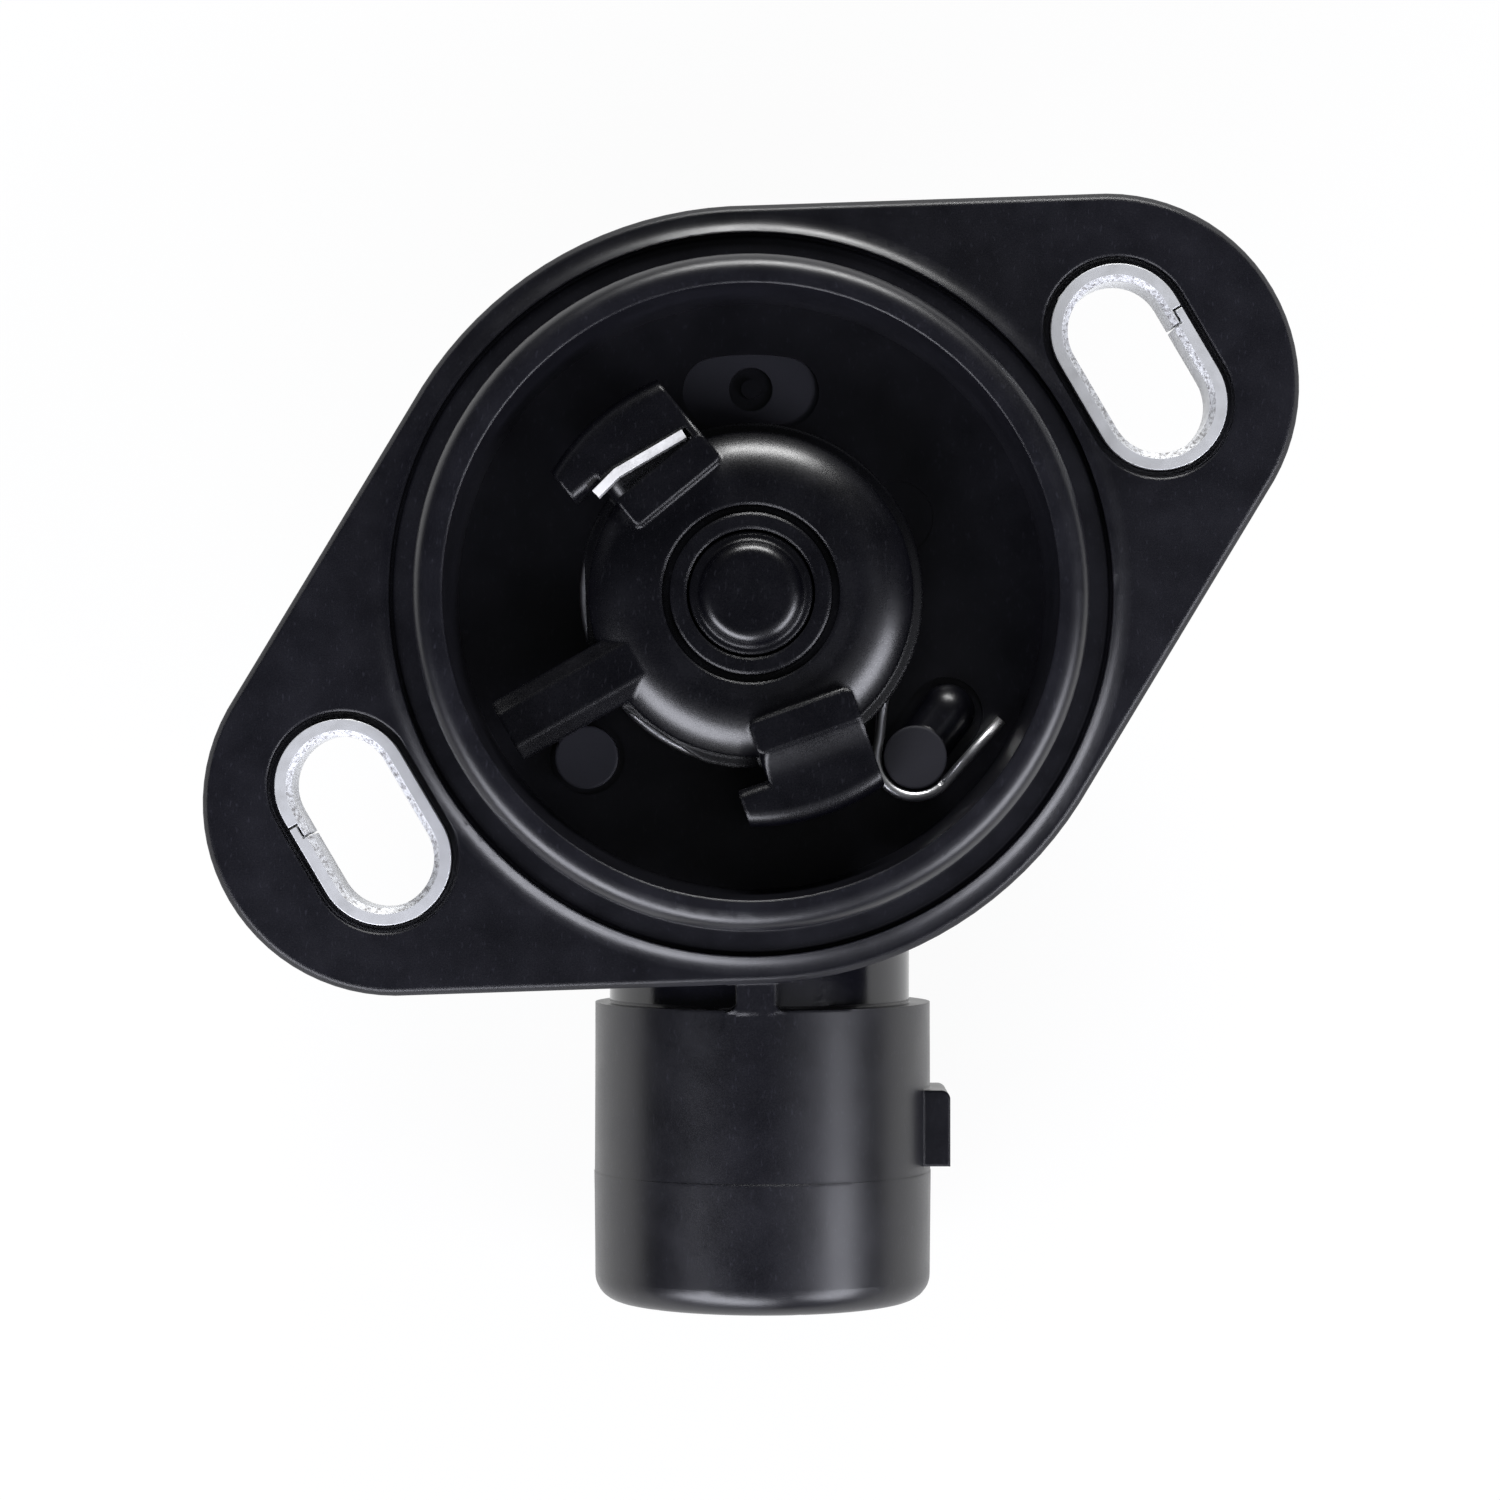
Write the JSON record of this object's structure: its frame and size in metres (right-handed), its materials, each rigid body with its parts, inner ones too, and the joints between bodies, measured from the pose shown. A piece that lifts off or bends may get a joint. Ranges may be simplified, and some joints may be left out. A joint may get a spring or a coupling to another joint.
{
  "type": "throttle position sensor",
  "caption": "Rotary throttle position sensor: slotted flange with a round pilot, a sprung rotor with two drive lugs in an open cup, and a round connector barrel.",
  "frame": {"origin": "on the rotor axis, in the flange's mounting face, half way between the two screw slots", "axes": "+Z out of the pilot towards the throttle shaft, -Y along the connector barrel to its mouth, +X to the right seen from the throttle side"},
  "size_m": [0.061, 0.0627, 0.0255],
  "materials": {
    "housing_plastic": "black glass-filled moulding, fine satin grain",
    "rotor_plastic": "black moulding, smoother than the housing",
    "carrier_plastic": "natural moulded plastic",
    "steel": "zinc plated, bright",
    "spring_steel": "drawn spring wire and strip, bright",
    "bronze": "sintered, oiled",
    "brass": "stamped brass",
    "rubber": "matt black",
    "board": "pale fired board",
    "carbon_print": "dull printed carbon",
    "silver_print": "printed silver paste",
    "solder": "reflowed solder"
  },
  "bodies": {
    "sensor_body": {"housing": "housing_plastic", "bushing_upper": "steel", "bushing_lower": "steel", "return_spring": "spring_steel", "thrust_washer": "steel", "shaft_seal": "rubber", "bearing_bush": "bronze", "wave_washer": "spring_steel", "element_board": "board", "resistor_track": "carbon_print", "collector_track": "silver_print", "terminal_supply": "brass", "terminal_signal": "brass", "terminal_ground": "brass", "solder_joints": "solder", "cover_seal": "rubber", "back_cover": "housing_plastic"},
    "rotor": {"drive_rotor": "rotor_plastic", "rotor_shaft": "rotor_plastic", "drive_clip": "spring_steel", "wiper_carrier": "carrier_plastic", "wiper_contact": "brass", "retaining_ring": "spring_steel"}
  },
  "joints": [
    {"name": "rotor_turn", "type": "hinge", "parent": "sensor_body", "child": "rotor", "pos_m": [0, 0, 0], "axis": [0, 0, -1], "range_deg": [0, 100], "stiffness_Nm_per_rad": 0.015, "springref_deg": -40.11, "deforming": ["return_spring"]}
  ]
}
